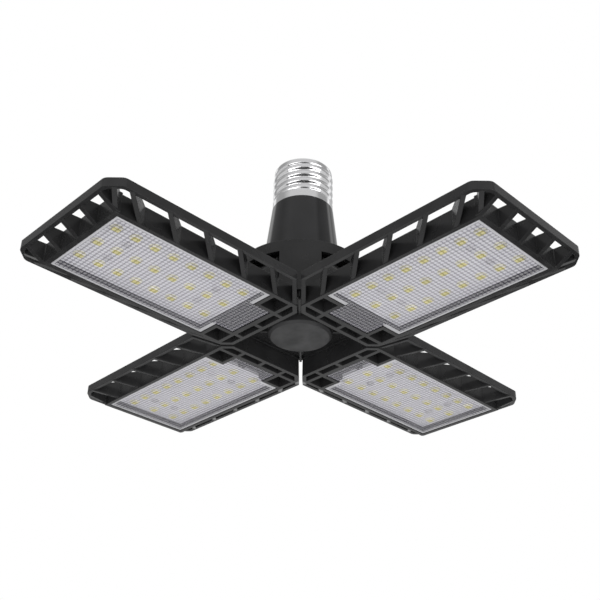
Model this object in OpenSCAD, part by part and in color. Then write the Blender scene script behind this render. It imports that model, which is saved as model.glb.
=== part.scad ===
// Folding garage lamp with four hinged light panels round a hub and a screw base.
// The origin is on the lamp's axis at the lower rim of the screw shell. +Z points out of the
// base, so the lamp hangs below the origin. The panels lie along +X, +Y, -X and -Y.

/* [Panel tray] */
// Length of a tray along its panel
tray_l = 86; // [80:1:100]
// Width of a tray
tray_w = 44; // [42:0.5:46]
// Depth of a tray, from the lens face to its back
tray_h = 8; // [7.5:0.1:9]
// Width of the tray's edge outside the lens
tray_edge = 1.6; // [1.2:0.1:2]
// Edge of the tray outside the lens at the outer end
tray_end_edge = 2; // [1.6:0.1:3]
// Thickness of the tray's back
tray_back = 3.5; // [3:0.1:3.8]
// Depth of the cooling grooves in the tray's back
groove_d = 1; // [0.5:0.1:1.2]
// Width of a cooling groove
groove_w = 3; // [2:0.1:3.5]
// Number of cooling grooves across the back
groove_n = 6; // [2:1:7]
// Gap between neighbouring panels, measured square to the diagonal between them
panel_gap = 1.6; // [1.4:0.1:2]

/* [Pockets] */
// Width of the strip round the pockets at the inner end
pocket_edge = 1.7; // [1.4:0.1:2]
// Depth of the pockets
pocket_d = 5; // [3:0.1:5.4]
// Length of the small pockets in the row at the inner end
row_l = 3.1; // [2.5:0.1:3.4]
// Width of a small pocket beside the middle rib
row_w = 9.7; // [8:0.1:10]
// Thickness of the rib in the middle of the row
row_rib = 1.8; // [1.2:0.1:2.4]

/* [Lens] */
// Length of the lens without its tab
lens_l = 68.5; // [60:0.5:70]
// Length of the lens tab over the wiring space
tab_l = 8.5; // [6:0.5:9]
// Width of the lens tab
tab_w = 22; // [18:0.5:24]
// Thickness of the lens
lens_t = 1.5; // [1.2:0.1:1.8]
// Gap between the lens and the tray all round
lens_gap = 0.25; // [0.15:0.05:0.4]
// Width of the ledge that the lens sits on
lens_ledge = 0.9; // [0.6:0.1:1.1]

/* [Light board] */
// Thickness of the light board
board_t = 1.6; // [1:0.1:1.8]
// Gap round the light board
board_gap = 0.3; // [0.2:0.05:0.6]
// Number of light chips along the board
chip_nx = 8; // [4:1:8]
// Number of rows of light chips
chip_ny = 3; // [2:1:3]
// Distance between chips along the board
chip_px = 8.1; // [7:0.1:8.5]
// Distance between the rows of chips
chip_py = 11.2; // [9:0.1:12]
// Length of a chip
chip_l = 3.5; // [2.8:0.1:4]
// Width of a chip
chip_w = 2.8; // [2:0.1:3.5]
// Height of a chip
chip_h = 0.8; // [0.6:0.1:1]
// Diameter of a board screw's thread
bscrew_d = 2; // [1.6:0.1:2.2]
// Diameter of a board screw's head
bscrew_head_d = 3.4; // [2.8:0.1:3.8]
// Height of a board screw's head
bscrew_head_h = 0.8; // [0.6:0.1:1]
// Length of a board screw below its head
bscrew_l = 3; // [2.2:0.1:3.2]

/* [Rim and webs] */
// Distance from the tray's side to the outside of the rim
rim_off = 8.6; // [7:0.1:8.8]
// Distance from the tray's end to the outside of the rim
rim_end_off = 7.6; // [6:0.1:8.4]
// Thickness of the rim
rim_t = 1.6; // [1.2:0.1:2]
// Height of the rim
rim_h = 3.4; // [2.5:0.1:4]
// How far the rim's top lies below the tray's back
rim_drop = 0.4; // [0.1:0.1:1]
// Leg of the chamfer at the rim's outer corners
rim_corner = 4.9; // [4:0.1:7]
// Radius of the two bends of each outer corner
rim_bend = 3; // [1:0.1:4]
// Thickness of the webs between tray and rim
web_t = 1.7; // [1.2:0.1:2]
// Distance from the tray's outer end to the first web node
web_start = 10; // [8:0.5:12]
// Distance between the web nodes along the tray
web_pitch = 15.3; // [14:0.1:16]
// Number of web nodes along a side
web_n = 5; // [3:1:5]
// How far a side web runs along the tray while it crosses to the rim
web_run = 9.2; // [6:0.1:10]
// Height of the webs' lower edge above the lens plane, at the tray
web_low = 0.3; // [0:0.1:1]
// Distance between the ribs at the outer end
end_pitch = 11; // [9:0.1:11]
// Number of ribs at the outer end
end_n = 5; // [3:1:5]

/* [Hinge] */
// Distance from the lamp's axis to a hinge axis
hinge_r = 19.5; // [19.2:0.1:20]
// Height of the hinge axes above the tray's back
hinge_up = 13; // [12.8:0.1:13.6]
// Diameter of a hinge pin
pin_d = 3; // [2.5:0.1:3.4]
// Radial running clearance of the pins in the panels' lugs
pin_run = 0.05; // [0.02:0.01:0.09]
// Outside diameter of a lug round its pin
lug_d = 14; // [12:0.5:14.4]
// Gap between the hinge arms of neighbouring panels
arm_gap = 0.5; // [0.4:0.1:1]
// Width of the wiring gap between the two lugs
lug_gap = 8; // [6:0.5:10]
// Thickness of the wall that joins the lugs at their outer side
lug_wall = 1.5; // [1:0.1:1.8]
// Gap between each side of the arm and the hub
arm_side_gap = 0.8; // [0.6:0.1:1]
// Gap between the top of the arms and the hub shell's wall
arm_top_gap = 0.4; // [0.3:0.1:1]
// Thickness of a friction washer
washer_t = 0.5; // [0.4:0.1:0.5]
// Diameter of a friction washer
washer_d = 6; // [5:0.1:6]

/* [Hub] */
// How far the hub reaches outward beyond the hinge axes
hub_over = 8.2; // [8:0.1:8.8]
// Height of the hub, from its underside to its top
hub_h = 25; // [25:0.1:27]
// Thickness of the hub shell's wall
hub_wall = 1.5; // [1.2:0.1:1.8]
// Thickness of the hub shell's top
hub_top_t = 3.2; // [2.5:0.1:3.4]
// Thickness of the hub's bottom plate
plate_t = 2; // [1.6:0.1:2.4]
// Gap between the hub's underside and the flat panels
stop_gap = 0.4; // [0.3:0.1:0.6]
// Gap between the hub shell and the posts inside it
post_gap = 0.3; // [0.2:0.05:0.5]
// Wall of the tube round the wires in the middle of the hub
core_wall = 1.4; // [1:0.1:2]
// Width of the ribs under the hub's bottom plate
under_rib_w = 1; // [0.6:0.1:1.2]
// Depth of the ribs under the hub's bottom plate
under_rib_h = 2; // [1:0.1:3]
// Width of the lip round the underside of the hub's bottom plate
lip_w = 1; // [0.8:0.1:2]
// Height of that lip, which covers the slit between the hub and the panels
lip_h = 1; // [0.6:0.1:2]
// Diameter of the bottom cap
cap_d = 26; // [22:0.5:28]
// Height of the bottom cap below the hub
cap_h = 4.4; // [3:0.1:5]
// Bevel at the bottom cap's edge
cap_bevel = 1; // [0.5:0.1:1.5]
// Wall of the bottom cap
cap_wall = 1.6; // [1.2:0.1:2]
// Diameter of the bottom cap's stem
stem_d = 6; // [5:0.5:8]
// Diameter of the screws that hold the hub and the housing together
hscrew_d = 2.6; // [2:0.1:3]
// Diameter of those screws' heads
hscrew_head_d = 4.6; // [4:0.1:5]
// Height of those screws' heads
hscrew_head_h = 1.2; // [1:0.1:1.6]
// How far the shell's screws reach into the posts
hscrew_grip = 8; // [6:0.1:10]

/* [Driver housing] */
// Height of the driver housing above the hub
housing_h = 32.6; // [28:0.1:40]
// Diameter of the driver housing at the hub
housing_d1 = 33.8; // [33:0.1:36]
// Diameter of the driver housing at the screw base
housing_d2 = 26.6; // [26.4:0.1:28]
// Wall of the driver housing
housing_wall = 1.6; // [1.2:0.1:1.8]
// Depth of the spigot that stands in the hub's top
spigot_h = 2.4; // [1.5:0.1:2.5]
// Wall of the spigot
spigot_wall = 1.6; // [1.2:0.1:2.4]
// Gap round the spigot
spigot_gap = 0.15; // [0.1:0.05:0.3]
// Height of the collar inside the housing that takes the fixing screws
collar_h = 4; // [3:0.5:5]
// Width of the collar
collar_w = 4; // [3:0.1:4.2]

/* [Screw base] */
// Diameter of the screw shell over its thread
shell_d = 26.2; // [26:0.1:26.6]
// Length of the shell's plain part
skirt_h = 4; // [3:0.1:6]
// Thread pitch of the shell
thread_p = 3.63; // [3.5:0.01:3.7]
// Number of thread turns
thread_n = 4; // [3:1:5]
// Depth of the thread
thread_d = 1.1; // [0.8:0.1:1.2]
// Sheet thickness of the screw shell
shell_t = 0.5; // [0.3:0.1:0.6]
// Height of the shell's rounded shoulder above the thread
shoulder_h = 2.2; // [1.5:0.1:3]
// Diameter of the opening in the shell's shoulder
shoulder_d = 17; // [15:0.5:18]
// Height of the insulator above the shell
insul_h = 3.6; // [3:0.1:5]
// Diameter of the centre contact
contact_d = 9.4; // [8:0.1:10]
// Height of the centre contact above the insulator
contact_h = 1.8; // [1:0.1:2.5]
// Length of the housing's neck inside the shell
neck_h = 14; // [8:0.5:14]
// Gap between the neck and the shell
neck_gap = 0.15; // [0.1:0.05:0.3]

/* [Driver] */
// Width of the driver board
drv_w = 19; // [16:0.5:20]
// Length of the driver board
drv_l = 27; // [22:0.5:27]
// Thickness of the driver board
drv_t = 1.6; // [1:0.1:1.8]
// Gap between the collar and the driver board's lower edge
drv_up = 0.3; // [0.1:0.1:0.6]
// Width of the transformer
trafo_w = 12; // [9:0.5:13]
// Height of the transformer off the board
trafo_h = 8; // [6:0.5:9]
// Length of the transformer
trafo_l = 11; // [9:0.5:12]
// Diameter of the mains capacitor
cap1_d = 7; // [5:0.5:7.5]
// Length of the mains capacitor
cap1_l = 11; // [8:0.5:12]
// Diameter of the output capacitor
cap2_d = 5; // [4:0.5:5.5]
// Length of the output capacitor
cap2_l = 9; // [7:0.5:10]
// Outside diameter of the choke
choke_d = 7; // [6:0.5:8]
// Thickness of the choke
choke_t = 3; // [2.5:0.5:4]
// Diameter of the insulated wires
wire_d = 1.3; // [1:0.1:1.4]

/* [Hidden] */
$fn = 96;
eps = 0.01;

// Heights in the lamp's frame
hub_top_z = -housing_h;
hub_bot_z = hub_top_z - hub_h;
lens_z = hub_bot_z - stop_gap - tray_h;

// A panel's own frame: x outward from the axis, y across, z up from the lens plane.
// The tray's inner end lies straight below the hinge axis.
tray_in = hinge_r;
tray_out = tray_in + tray_l;
half_w = tray_w / 2;
hinge_z = tray_h + hinge_up;
diag_off = panel_gap / sqrt(2);
lens_x1 = tray_out - tray_end_edge;
lens_x0 = lens_x1 - lens_l;
tab_x0 = lens_x0 - tab_l;
lens_hw = half_w - tray_edge;
back_z = tray_h - tray_back;
board_z = back_z - board_t;
board_x0 = lens_x0 + lens_ledge + board_gap;
board_x1 = lens_x1 - lens_ledge - board_gap;
board_hw = lens_hw - lens_ledge - board_gap;
board_cx = (board_x0 + board_x1) / 2;
rim_hw = half_w + rim_off;
rim_out = tray_out + rim_end_off;
rim_top = tray_h - rim_drop;
rim_z = rim_top - rim_h;
web_sink = rim_t / 2;
row_x0 = tray_in + pocket_edge;
row_x1 = row_x0 + row_l;
pocket_x0 = row_x1 + pocket_edge;
pocket_x1 = lens_x0 - pocket_edge;
pocket_y0 = tab_w / 2 + pocket_edge;
pocket_y1 = half_w - pocket_edge + eps;
lug_hw = hinge_r - lug_d / 2 - arm_gap;
slot_hw = lug_hw + arm_side_gap;
bscrew_px = chip_px * (chip_nx - 3);
bscrew_hole_d = bscrew_d + 0.4;
lead_x = hinge_r + pin_d / 2 + wire_d / 2 + 0.6;
lead_y = wire_d / 2 + 0.3;
lead_z = tray_h - wire_d / 2 - 0.3;
lead_low_z = board_z + board_t / 2;
lead_x1 = tab_x0 + 3;
channel_hw = lead_y + wire_d / 2 + 0.4;

// The hub
hub_d = 2 * (hinge_r + hub_over);
post_r = hub_d / 2 - hub_wall - post_gap;
pin_hl = sqrt(pow(post_r, 2) - pow(hinge_r + pin_d / 2, 2)) - 0.1;
skirt_gap = hinge_up + stop_gap
    - sqrt(pow(hinge_up, 2) - pow(sqrt(pow(hub_d / 2, 2) - pow(slot_hw, 2)) - hinge_r, 2));
shell_bot_z = hub_bot_z + skirt_gap + 0.2;
under_top_z = hub_top_z - hub_top_t;
hinge_hub_z = lens_z + hinge_z;
arm_top_z = hinge_hub_z + lug_d / 2 + arm_top_gap;
hub_lead_z = hinge_hub_z + pin_d;
plate_top_z = hub_bot_z + plate_t;
plate_hw = tray_in - 0.4;
post_top_z = under_top_z - 0.1;
head_sink = hscrew_head_h + 0.2;
hscrew_r = (slot_hw * sqrt(2) + post_r) / 2;

// The driver housing and the screw base
collar_r = housing_d1 / 2 - housing_wall - 0.2;
fix_r = collar_r - collar_w / 2;
spigot_r = fix_r - hscrew_head_d / 2 - 0.4;
core_r = spigot_r;
thread_top = skirt_h + thread_n * thread_p;
shell_top = thread_top + shoulder_h;
insul_top = shell_top + insul_h;
shell_ir = shell_d / 2 - thread_d - shell_t;
neck_r = shell_ir - neck_gap;
drv_z0 = hub_top_z + collar_h + drv_up;
drv_z1 = drv_z0 + drv_l;
rail_t = 1.2;
rail_gap = 0.2;
rail_lap = 1.5;

// Puts a panel's own frame at panel number i
module at_panel(i) {
    rotate([0, 0, 90 * (i - 1)]) translate([0, 0, lens_z]) children();
}

// A cylinder along y, centred on y = 0
module y_cyl(d, l) {
    rotate([90, 0, 0]) cylinder(d = d, h = l, center = true);
}

// Both sides of a panel
module both_sides() {
    children();
    mirror([0, 1, 0]) children();
}

// A board between two corner points
module block(lo, hi) {
    translate(lo) cube(hi - lo);
}

// Points of an arc about a centre
function arc(c, r, a0, a1, n = 4) =
    [for (k = [0:n]) c + r * [cos(a0 + (a1 - a0) * k / n), sin(a0 + (a1 - a0) * k / n)]];

// Half of the rim's outline, inset by d, from the middle of the end round the corner
function rim_half(d) =
    let (
        x = rim_out - d,
        y = rim_hw - d,
        leg = rim_corner - d * (2 - sqrt(2)),
        b = rim_bend,
        back = b * tan(22.5)
    )
    concat(
        arc([x - b, y - leg - back], b, 0, 45),
        arc([x - leg - back, y - b], b, 45, 90)
    );

module rim_plan(d) {
    half = rim_half(d);
    polygon(concat(
        [[0, d - rim_hw]],
        [for (k = [len(half) - 1:-1:0]) [half[k][0], -half[k][1]]],
        half,
        [[0, rim_hw - d]]
    ));
}

// The wedge that a panel must stay in, so that neighbours never touch
module wedge() {
    far = rim_out + 10;
    polygon([[diag_off, 0], [far, far - diag_off], [far, diag_off - far]]);
}

// A thin upright web from the tray at p0 to the rim at p1, in plan
module web(p0, p1) {
    v = p1 - p0;
    translate([p0[0], p0[1], 0])
        rotate([90, 0, atan2(v[1], v[0])])
            translate([0, 0, -web_t / 2])
                linear_extrude(web_t)
                    polygon([[-web_t, web_low], [0, web_low], [norm(v), rim_z], [norm(v), rim_top],
                        [0, tray_h], [-web_t, tray_h]]);
}

// The webs of one side, which lean outward from the tray to the rim
module side_webs() {
    rim_y = rim_hw - web_sink;
    for (k = [0:web_n - 1]) {
        x = tray_out - web_start - k * web_pitch;
        web([x, half_w], [x + web_run, rim_y]);
    }
    corner = rim_corner / 2 + web_sink / sqrt(2);
    web([tray_out - web_t / 2, half_w - web_t / 2], [rim_out - corner, rim_hw - corner]);
    inner_x = half_w + diag_off + web_t / sqrt(2);
    web([inner_x, half_w], [inner_x + rim_off - web_sink, rim_y]);
}

module end_ribs() {
    for (k = [0:end_n - 1]) {
        y = (k - (end_n - 1) / 2) * end_pitch;
        web([tray_out, y], [rim_out - web_sink, y]);
    }
}

// Pockets in the underside of the inner end of one side
module end_pockets() {
    block([row_x0, row_rib / 2, -1], [row_x1, row_rib / 2 + row_w, pocket_d]);
    block([row_x0, row_rib / 2 + row_w + pocket_edge, -1], [row_x1, pocket_y1, pocket_d]);
    block([pocket_x0, pocket_y0, -1], [pocket_x1, pocket_y1, pocket_d]);
}

// The tray's outline, cut to the wedge that leaves room for its neighbours
module tray_plan(inset = 0) {
    intersection() {
        translate([tray_in + inset, inset - half_w]) square([tray_l - 2 * inset, tray_w - 2 * inset]);
        translate([inset * sqrt(2), 0]) wedge();
    }
}

// The seat of the lens and the space behind it for the board and the wiring
module tray_hollow() {
    block([lens_x0, -lens_hw, -1], [lens_x1, lens_hw, lens_t + 0.1]);
    block([tab_x0, -tab_w / 2, -1], [lens_x0 + eps, tab_w / 2, lens_t + 0.1]);
    block([lens_x0 + lens_ledge, lens_ledge - lens_hw, -1],
        [lens_x1 - lens_ledge, lens_hw - lens_ledge, back_z]);
    block([tab_x0 + lens_ledge, lens_ledge - tab_w / 2, -1],
        [lens_x0 + lens_ledge + eps, tab_w / 2 - lens_ledge, back_z]);
}

// Cooling grooves along the tray's back
module back_grooves() {
    pitch = (tray_w - 2 * tray_edge - groove_w) / groove_n;
    for (k = [0:groove_n - 1])
        block([lens_x0, (k - (groove_n - 1) / 2) * pitch - groove_w / 2, tray_h - groove_d],
            [lens_x1, (k - (groove_n - 1) / 2) * pitch + groove_w / 2, tray_h + 1]);
}

// Places of the board screws, between the chips
module board_screw_at() {
    for (sx = [-1, 1])
        for (sy = [-1, 1])
            translate([board_cx + sx * bscrew_px / 2, sy * chip_py / 2, 0]) children();
}

// The two hinge lugs on the tray's back, round the hinge axis, with the wiring gap between them
module lugs() {
    difference() {
        union() {
            translate([hinge_r, 0, hinge_z]) y_cyl(lug_d, 2 * lug_hw);
            block([hinge_r, -lug_hw, tray_h - 1], [hinge_r + lug_d / 2, lug_hw, hinge_z]);
        }
        block([0, -lug_gap / 2, tray_h], [hinge_r + lug_d / 2 - lug_wall, lug_gap / 2, hinge_z + lug_d]);
    }
}

module panel_frame(i) {
    color([0.16, 0.16, 0.17]) at_panel(i) difference() {
        union() {
            linear_extrude(tray_h) tray_plan();
            translate([0, 0, rim_z]) linear_extrude(rim_h) intersection() {
                difference() {
                    rim_plan(0);
                    rim_plan(rim_t);
                }
                translate([tray_in, -rim_hw]) square([2 * tray_l, 2 * rim_hw]);
                wedge();
            }
            both_sides() side_webs();
            end_ribs();
            lugs();
        }
        tray_hollow();
        intersection() {
            both_sides() end_pockets();
            translate([0, 0, -2]) linear_extrude(tray_h) tray_plan(pocket_edge);
        }
        back_grooves();
        translate([0, 0, back_z - eps])
            board_screw_at() cylinder(d = bscrew_d, h = bscrew_l - board_t + 0.2);
        block([lead_x - wire_d, -channel_hw, lead_z - wire_d / 2 - 0.2],
            [lead_x1 + wire_d, channel_hw, tray_h + 1]);
        block([lead_x1 - wire_d, -channel_hw, back_z - 1], [lead_x1 + wire_d, channel_hw, tray_h]);
        translate([hinge_r, 0, hinge_z]) y_cyl(pin_d + 2 * pin_run, 2 * lug_hw + 2);
    }
}

module lens(i) {
    g = lens_gap;
    color([0.92, 0.93, 0.95, 0.6]) at_panel(i) union() {
        block([lens_x0 + g, g - lens_hw, 0.1], [lens_x1 - g, lens_hw - g, lens_t]);
        block([tab_x0 + g, g - tab_w / 2, 0.1], [lens_x0 + g + eps, tab_w / 2 - g, lens_t]);
    }
}

module light_board(i) {
    color([0.93, 0.93, 0.95]) at_panel(i) difference() {
        block([board_x0, -board_hw, board_z], [board_x1, board_hw, back_z]);
        translate([0, 0, board_z - 1]) board_screw_at() cylinder(d = bscrew_hole_d, h = board_t + 2);
    }
}

module light_chips(i) {
    color([0.98, 0.85, 0.35]) at_panel(i)
        for (ix = [0:chip_nx - 1])
            for (iy = [0:chip_ny - 1])
                translate([board_cx + (ix - (chip_nx - 1) / 2) * chip_px,
                    (iy - (chip_ny - 1) / 2) * chip_py, board_z - chip_h / 2])
                    cube([chip_l, chip_w, chip_h], center = true);
}

module board_screws(i) {
    color([0.75, 0.75, 0.78]) at_panel(i) board_screw_at() union() {
        translate([0, 0, board_z - bscrew_head_h]) cylinder(d = bscrew_head_d, h = bscrew_head_h);
        translate([0, 0, board_z - eps]) cylinder(d = bscrew_d - 0.1, h = bscrew_l);
    }
}

module hinge_pin(i) {
    color([0.8, 0.8, 0.82]) at_panel(i) translate([hinge_r, 0, hinge_z]) y_cyl(pin_d, 2 * pin_hl);
}

// A washer in the gap at each side of the arm, on the pin
module friction_washers(i) {
    color([0.7, 0.7, 0.72]) at_panel(i)
        for (sy = [-1, 1])
            translate([hinge_r, sy * (lug_hw + arm_side_gap - washer_t / 2 - 0.02), hinge_z]) difference() {
                y_cyl(washer_d, washer_t);
                y_cyl(pin_d + 2 * pin_run, washer_t + 1);
            }
}

// A straight piece of wire between two points, with a round end at the first
module wire(p0, p1) {
    v = p1 - p0;
    translate(p0) sphere(d = wire_d, $fn = 24);
    translate(p0) rotate([0, acos(v[2] / norm(v)), atan2(v[1], v[0])])
        cylinder(d = wire_d, h = norm(v), $fn = 24);
}

// Two leads from the board, through the back and along its channel, up to the hinge
module panel_lead(i) {
    color([0.75, 0.1, 0.1]) at_panel(i)
        for (sy = [-1, 1]) translate([0, sy * lead_y, 0]) union() {
            wire([lead_x, 0, lead_z], [lead_x, 0, hinge_z]);
            wire([lead_x1, 0, lead_z], [lead_x, 0, lead_z]);
            wire([lead_x1, 0, lead_low_z], [lead_x1, 0, lead_z]);
            wire([lead_x1, 0, lead_low_z], [board_x0, 0, lead_low_z]);
        }
}

// A quarter turn pattern round the hub
module four() {
    for (k = [0:3]) rotate([0, 0, 90 * k]) children();
}

// The hub's outside, open at each hinge arm
module hub_shell() {
    color([0.14, 0.14, 0.15]) difference() {
        translate([0, 0, shell_bot_z]) cylinder(d = hub_d, h = hub_top_z - shell_bot_z);
        translate([0, 0, shell_bot_z - 1])
            cylinder(d = hub_d - 2 * hub_wall, h = under_top_z - shell_bot_z + 1);
        translate([0, 0, under_top_z - 1]) cylinder(r = spigot_r, h = hub_top_t + 2);
        four() block([hinge_r - lug_d, -slot_hw, shell_bot_z - 1], [hub_d, slot_hw, arm_top_z]);
        four() rotate([0, 0, 45]) translate([hscrew_r, 0, 0]) {
            translate([0, 0, under_top_z - 1]) cylinder(d = hscrew_d + 0.3, h = hub_top_t + 2);
            translate([0, 0, hub_top_z - head_sink]) cylinder(d = hscrew_head_d + 0.4, h = head_sink + 1);
        }
        four() translate([fix_r, 0, under_top_z - 1]) cylinder(d = hscrew_d + 0.3, h = hub_top_t + 2);
    }
}

// The plate under the hub with its lip, the corner posts that hold the pins, and the wire tube
module hub_base() {
    rib_x0 = cap_d / 2 + 0.3;
    rib_x1 = plate_hw * sqrt(2) - 1;
    color([0.12, 0.12, 0.13]) difference() {
        union() {
            block([-plate_hw, -plate_hw, hub_bot_z], [plate_hw, plate_hw, plate_top_z]);
            difference() {
                block([-plate_hw, -plate_hw, hub_bot_z - lip_h], [plate_hw, plate_hw, hub_bot_z + eps]);
                block([lip_w - plate_hw, lip_w - plate_hw, hub_bot_z - lip_h - 1],
                    [plate_hw - lip_w, plate_hw - lip_w, hub_bot_z + 1]);
            }
            four() intersection() {
                translate([0, 0, shell_bot_z]) cylinder(r = post_r, h = post_top_z - shell_bot_z);
                block([slot_hw, slot_hw, hub_bot_z], [hub_d, hub_d, post_top_z]);
            }
            translate([0, 0, plate_top_z - eps]) cylinder(r = core_r, h = post_top_z - plate_top_z + eps);
            four() rotate([0, 0, 45]) block([rib_x0, -under_rib_w / 2, hub_bot_z - under_rib_h],
                [rib_x1, under_rib_w / 2, hub_bot_z + eps]);
        }
        four() translate([hinge_r, 0, hinge_hub_z]) y_cyl(pin_d + 0.02, hub_d);
        translate([0, 0, hub_bot_z - 1]) cylinder(d = stem_d + 0.2, h = plate_t + 2);
        translate([0, 0, plate_top_z]) cylinder(r = core_r - core_wall, h = hub_h);
        four() block([0, -channel_hw, hub_lead_z - wire_d], [core_r + 1, channel_hw, hub_lead_z + wire_d]);
        four() rotate([0, 0, 45]) translate([hscrew_r, 0, post_top_z - hscrew_grip - 0.3])
            cylinder(d = hscrew_d, h = hscrew_grip + 1);
    }
}

// Screws from above through the shell's top into the posts
module hub_screws() {
    color([0.7, 0.7, 0.72]) four() rotate([0, 0, 45]) translate([hscrew_r, 0, 0]) union() {
        translate([0, 0, hub_top_z - head_sink + 0.05]) cylinder(d = hscrew_head_d, h = hscrew_head_h);
        translate([0, 0, post_top_z - hscrew_grip])
            cylinder(d = hscrew_d - 0.1, h = hub_top_z - head_sink + 0.1 - post_top_z + hscrew_grip);
    }
}

module bottom_cap() {
    r = cap_d / 2;
    z0 = hub_bot_z - cap_h;
    stem_top = plate_top_z + 1;
    color([0.28, 0.28, 0.29]) rotate_extrude() polygon([
        [0, z0], [r - cap_bevel, z0], [r, z0 + cap_bevel], [r, hub_bot_z - 0.05],
        [r - cap_wall, hub_bot_z - 0.05], [r - cap_wall, z0 + cap_wall], [stem_d / 2, z0 + cap_wall],
        [stem_d / 2, stem_top], [0, stem_top]
    ]);
}

function housing_r(z) = housing_d1 / 2 + (housing_d2 - housing_d1) / 2 * (z - hub_top_z) / housing_h;

module driver_housing() {
    roof_z = -housing_wall;
    color([0.07, 0.07, 0.08]) difference() {
        union() {
            rotate_extrude() polygon([
                [spigot_r - spigot_gap - spigot_wall, hub_top_z - spigot_h],
                [spigot_r - spigot_gap, hub_top_z - spigot_h],
                [spigot_r - spigot_gap, hub_top_z],
                [housing_r(hub_top_z), hub_top_z],
                [housing_r(0), -0.05],
                [neck_r, -0.05], [neck_r, neck_h], [neck_r - housing_wall, neck_h],
                [neck_r - housing_wall, roof_z],
                [housing_r(0) - housing_wall, roof_z],
                [housing_r(hub_top_z + collar_h) - housing_wall, hub_top_z + collar_h],
                [spigot_r - spigot_gap - spigot_wall, hub_top_z + collar_h]
            ]);
            for (sx = [0, 1], sy = [0, 1]) mirror([sx, 0, 0]) mirror([0, sy, 0]) rail();
        }
        four() translate([fix_r, 0, hub_top_z - eps]) cylinder(d = hscrew_d, h = collar_h - 0.6);
    }
}

// One of the rails that hold the driver board's long edges
module rail() {
    y0 = drv_t / 2 + rail_gap;
    intersection() {
        translate([0, 0, hub_top_z + collar_h - 1])
            cylinder(r1 = housing_r(hub_top_z + collar_h) - housing_wall / 2,
                r2 = housing_r(0) - housing_wall / 2, h = -hub_top_z - collar_h + 1 - housing_wall / 2);
        block([drv_w / 2 - rail_lap, y0, drv_z0], [housing_d1, y0 + rail_t, -housing_wall / 2]);
    }
}

// Screws from inside the hub up into the housing's collar
module housing_screws() {
    color([0.7, 0.7, 0.72]) four() translate([fix_r, 0, under_top_z]) union() {
        translate([0, 0, -hscrew_head_h]) cylinder(d = hscrew_head_d, h = hscrew_head_h);
        translate([0, 0, -eps]) cylinder(d = hscrew_d - 0.1, h = hub_top_t + collar_h - 1);
    }
}

module screw_shell() {
    steps = 8;
    crest = shell_d / 2;
    function thread_r(t) = crest - thread_d * (1 - cos(360 * t)) / 2;
    outer = concat(
        [[crest, 0], [crest, skirt_h]],
        [for (k = [1:steps * thread_n]) [thread_r(k / steps), skirt_h + k * thread_p / steps]],
        arc([crest - shoulder_h, thread_top], shoulder_h, 15, 75),
        [[shoulder_d / 2, shell_top]]
    );
    inner = concat(
        [[shoulder_d / 2, shell_top - shell_t]],
        arc([crest - shoulder_h, thread_top], shoulder_h - shell_t, 75, 0),
        [for (k = [steps * thread_n - 1:-1:1])
            [thread_r(k / steps) - shell_t, skirt_h + k * thread_p / steps]],
        [[crest - shell_t, skirt_h], [crest - shell_t, 0]]
    );
    color([0.85, 0.85, 0.86]) rotate_extrude() polygon(concat(outer, inner));
}

module base_insulator() {
    r0 = shoulder_d / 2;
    r1 = contact_d / 2;
    z0 = shell_top - shell_t;
    color([0.08, 0.08, 0.09]) rotate_extrude() polygon([
        [1, z0 - 2], [r0 + 1, z0 - 2], [r0 + 1, z0 - 0.05], [r0 - 0.1, z0 - 0.05],
        [r0 - 0.1, shell_top + 0.4], [r1 + 0.8, insul_top], [1, insul_top]
    ]);
}

module centre_contact() {
    r = contact_d / 2;
    color([0.82, 0.82, 0.83]) rotate_extrude() polygon([
        [0, insul_top], [r, insul_top], [r, insul_top + contact_h / 3],
        [r * 0.75, insul_top + contact_h * 0.8], [r * 0.35, insul_top + contact_h],
        [0, insul_top + contact_h]
    ]);
}

module driver_board() {
    color([0.1, 0.35, 0.18]) block([-drv_w / 2, -drv_t / 2, drv_z0], [drv_w / 2, drv_t / 2, drv_z1]);
}

// A part on the board's front (side = 1) or back (side = -1), centred at x and z
module on_board(side, x, z) {
    translate([x, side * drv_t / 2, z]) rotate([side > 0 ? -90 : 90, 0, 0]) children();
}

trafo_z = drv_z0 + trafo_l / 2 + 0.5;
cap1_z = drv_z0 + cap1_l / 2 + 0.5;
upper_z = drv_z0 + max(trafo_l, cap1_l) + 1.5;

module transformer() {
    color([0.75, 0.6, 0.2]) on_board(1, 0, trafo_z) union() {
        translate([-trafo_w / 2, -trafo_l / 2, 0]) cube([trafo_w, trafo_l, trafo_h * 0.3]);
        translate([-trafo_w * 0.35, -trafo_l * 0.35, 0]) cube([trafo_w * 0.7, trafo_l * 0.7, trafo_h * 0.9]);
        translate([-trafo_w / 2, -trafo_l / 2, trafo_h * 0.7]) cube([trafo_w, trafo_l, trafo_h * 0.3]);
    }
}

module mains_capacitor() {
    color([0.15, 0.2, 0.4]) translate([-drv_w / 4 + 0.5, -drv_t / 2 - cap1_d / 2, cap1_z])
        cylinder(d = cap1_d, h = cap1_l, center = true);
}

module output_capacitor() {
    color([0.15, 0.2, 0.4]) translate([drv_w / 4, -drv_t / 2 - cap2_d / 2, drv_z0 + cap2_l / 2 + 0.5])
        cylinder(d = cap2_d, h = cap2_l, center = true);
}

module line_choke() {
    color([0.2, 0.45, 0.25]) on_board(1, 0, upper_z + choke_d / 2) difference() {
        cylinder(d = choke_d, h = choke_t);
        translate([0, 0, -1]) cylinder(d = choke_d * 0.4, h = choke_t + 2);
    }
}

module bridge_rectifier() {
    color([0.1, 0.1, 0.1]) on_board(-1, 0, upper_z + 3)
        translate([-3.5, -2.5, 0]) cube([7, 5, 2.4]);
}

module switching_transistor() {
    color([0.12, 0.12, 0.12]) on_board(-1, 0, upper_z + 9)
        translate([-2.5, -2, 0]) cube([5, 4, 1.6]);
}

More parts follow.
